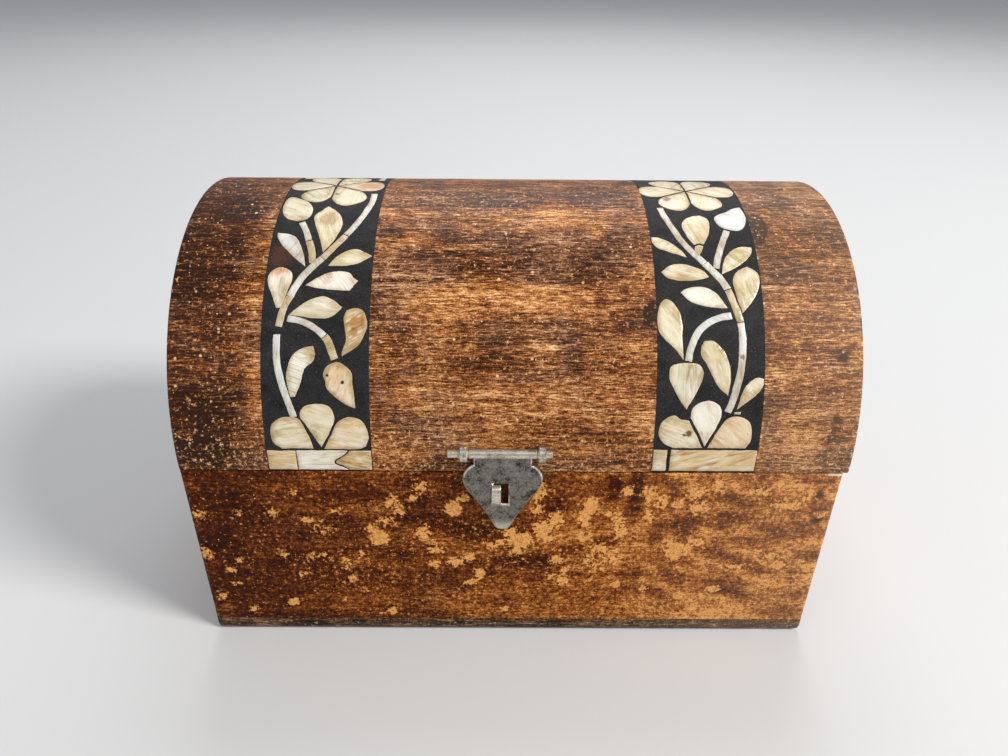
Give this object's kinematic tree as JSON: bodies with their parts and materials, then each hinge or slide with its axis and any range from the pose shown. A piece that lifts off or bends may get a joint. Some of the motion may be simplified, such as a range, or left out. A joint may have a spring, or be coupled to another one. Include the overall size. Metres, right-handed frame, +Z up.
{
  "type": "domed table chest",
  "caption": "Small wooden table chest with a half-round hinged lid, floral shell inlay bands running over the lid, and a swinging front hasp.",
  "frame": {"origin": "centre of the underside of the bottom board", "axes": "+X to the right along the length, +Y towards the hinges at the back, +Z up"},
  "size_m": [0.2014, 0.1434, 0.1349],
  "materials": {
    "board_wood": "old reddish-brown varnish, rubbed through to lighter wood in specks",
    "bottom_wood": "dark and dull, worn pale along the lower edge",
    "lac": "black lac filler, rubbed matt",
    "shell": "polished mother of pearl, cream with brown and orange tints",
    "hasp_steel": "dark pitted old steel, worn bright on the rod and eyes",
    "hinge_brass": "tarnished brass"
  },
  "bodies": {
    "base": {"base_front": "board_wood", "base_back": "board_wood", "base_left_end": "board_wood", "base_right_end": "board_wood", "base_bottom": "bottom_wood", "hasp_staple": "hasp_steel", "hinge_left_base_leaf": "hinge_brass", "hinge_left_pin": "hinge_brass", "hinge_right_base_leaf": "hinge_brass", "hinge_right_pin": "hinge_brass"},
    "lid": {"lid_stave_front_rim": "board_wood", "lid_stave_front_low": "board_wood", "lid_stave_front_high": "board_wood", "lid_stave_top": "board_wood", "lid_stave_back_high": "board_wood", "lid_stave_back_low": "board_wood", "lid_stave_back_rim": "board_wood", "lid_left_end": "board_wood", "lid_right_end": "board_wood", "inlay_left_ground": "lac", "inlay_right_ground": "lac", "pearl_left_flower": "shell", "pearl_left_front_half_flower": "shell", "pearl_left_front_vine": "shell", "pearl_left_front_border_1": "shell", "pearl_left_front_border_2": "shell", "pearl_left_front_lower_stem": "shell", "pearl_left_front_leaf_1": "shell", "pearl_left_front_leaf_2": "shell", "pearl_left_front_leaf_3": "shell", "pearl_left_back_half_flower": "shell", "pearl_left_back_vine": "shell", "pearl_left_back_border_1": "shell", "pearl_left_back_border_2": "shell", "pearl_left_back_lower_stem": "shell", "pearl_right_flower": "shell", "pearl_right_front_half_flower": "shell", "pearl_right_front_vine": "shell", "pearl_right_front_border_1": "shell", "pearl_right_front_border_2": "shell", "pearl_right_front_leaf_1": "shell", "pearl_right_front_leaf_2": "shell", "pearl_right_back_half_flower": "shell", "pearl_right_back_vine": "shell", "pearl_right_back_border_1": "shell", "pearl_right_back_border_2": "shell", "hasp_eye_left": "hasp_steel", "hasp_eye_right": "hasp_steel", "hinge_left_lid_leaf": "hinge_brass", "hinge_right_lid_leaf": "hinge_brass"},
    "hasp": {"hasp": "hasp_steel"}
  },
  "joints": [
    {"name": "lid_open", "type": "hinge", "parent": "base", "child": "lid", "pos_m": [0, 0.0693, 0.0677], "axis": [-1, 0, 0], "range_deg": [0, 100]},
    {"name": "hasp_swing", "type": "hinge", "parent": "lid", "child": "hasp", "pos_m": [-0.0029, -0.0696, 0.0762], "axis": [-1, 0, 0], "range_deg": [0, 190]}
  ]
}
